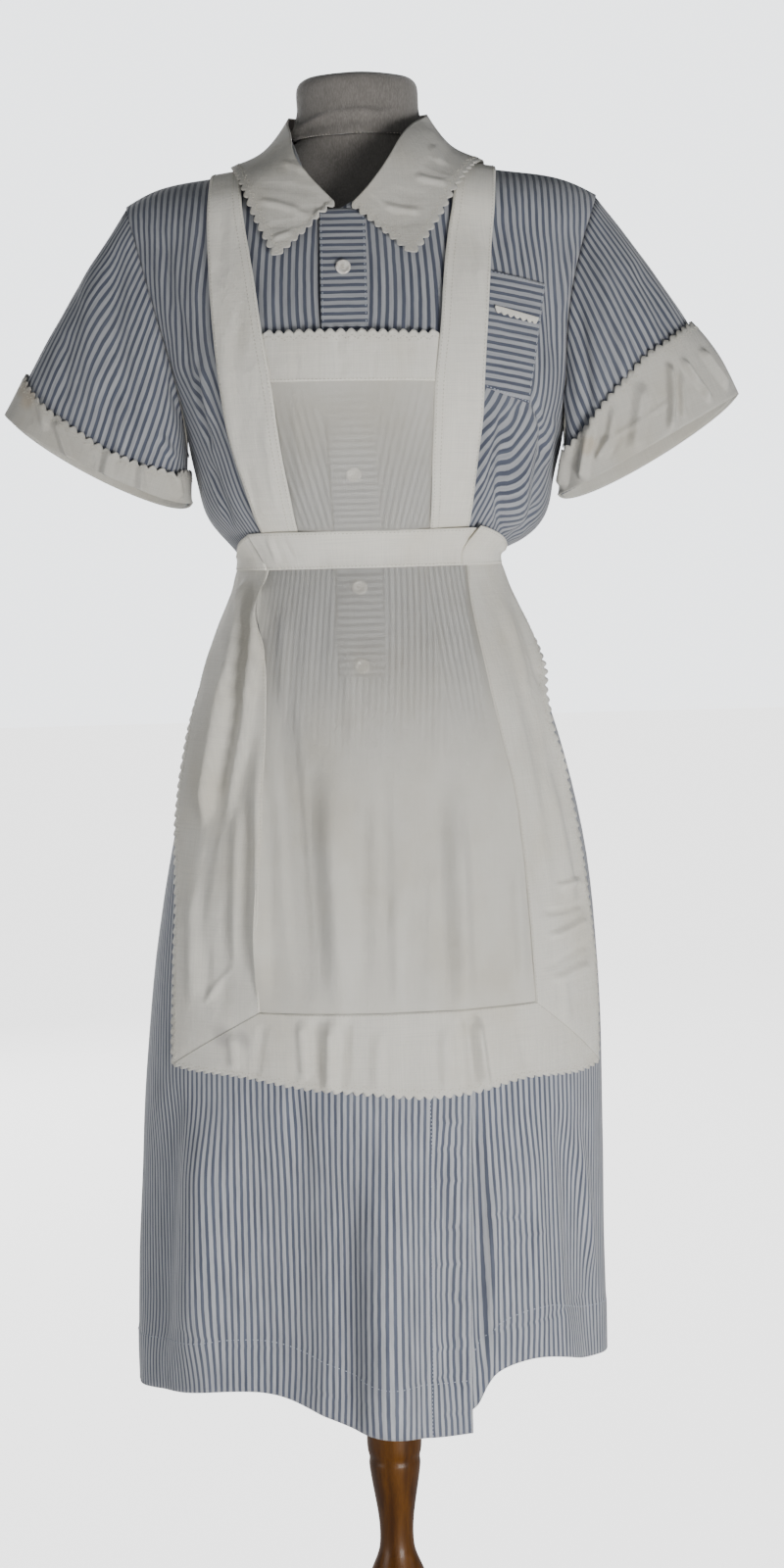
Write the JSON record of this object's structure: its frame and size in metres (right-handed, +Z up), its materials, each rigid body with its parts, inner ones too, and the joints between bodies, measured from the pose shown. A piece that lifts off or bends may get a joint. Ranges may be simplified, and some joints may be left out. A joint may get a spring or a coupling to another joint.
{
  "type": "maid dress on a dress form",
  "caption": "Short-sleeved striped shirtwaist maid dress with scalloped collar, turned-back cuffs and a bib apron, hung on a limbless dress form with a turned wooden stand.",
  "frame": {"origin": "on the floor, at the centre of the base's underside and under the pole", "axes": "+Z up the form; -Y towards the front of the dress; +X towards the viewer's right, so left and right are the viewer's"},
  "size_m": [0.6555, 0.366, 1.519],
  "materials": {
    "striped_cotton": "matt woven cotton with narrow blue stripes on a pale ground",
    "cream_cotton": "matt doubled cream cotton, a little creased",
    "sheer_cotton": "matt single cream lawn, a little sheer",
    "pearl_button": "polished, pearly",
    "grey_jersey": "matt grey-brown knitted cover",
    "turned_wood": "varnished, satin"
  },
  "bodies": {
    "root": {"bodice_front_left": "striped_cotton", "bodice_front_right": "striped_cotton", "bodice_back": "striped_cotton", "placket": "striped_cotton", "placket_lower": "striped_cotton", "skirt_front_left": "striped_cotton", "skirt_front_right": "striped_cotton", "skirt_back": "striped_cotton", "sleeve_left": "striped_cotton", "sleeve_right": "striped_cotton", "chest_pocket": "striped_cotton", "cuff_left": "cream_cotton", "cuff_right": "cream_cotton", "pocket_trim": "cream_cotton", "collar_left": "cream_cotton", "collar_right": "cream_cotton", "strap_left": "cream_cotton", "strap_right": "cream_cotton", "bib_band": "cream_cotton", "waistband": "cream_cotton", "tie_left": "cream_cotton", "tie_right": "cream_cotton", "tie_knot": "cream_cotton", "tail_left": "cream_cotton", "tail_right": "cream_cotton", "apron_band_left": "cream_cotton", "apron_band_right": "cream_cotton", "apron_hem_band": "cream_cotton", "bib_panel": "sheer_cotton", "apron_panel": "sheer_cotton", "button_1": "pearl_button", "button_2": "pearl_button", "button_3": "pearl_button", "button_4": "pearl_button", "button_5": "pearl_button", "form_body": "grey_jersey", "form_neck": "grey_jersey", "form_pole": "turned_wood", "form_base": "turned_wood"}
  },
  "joints": []
}
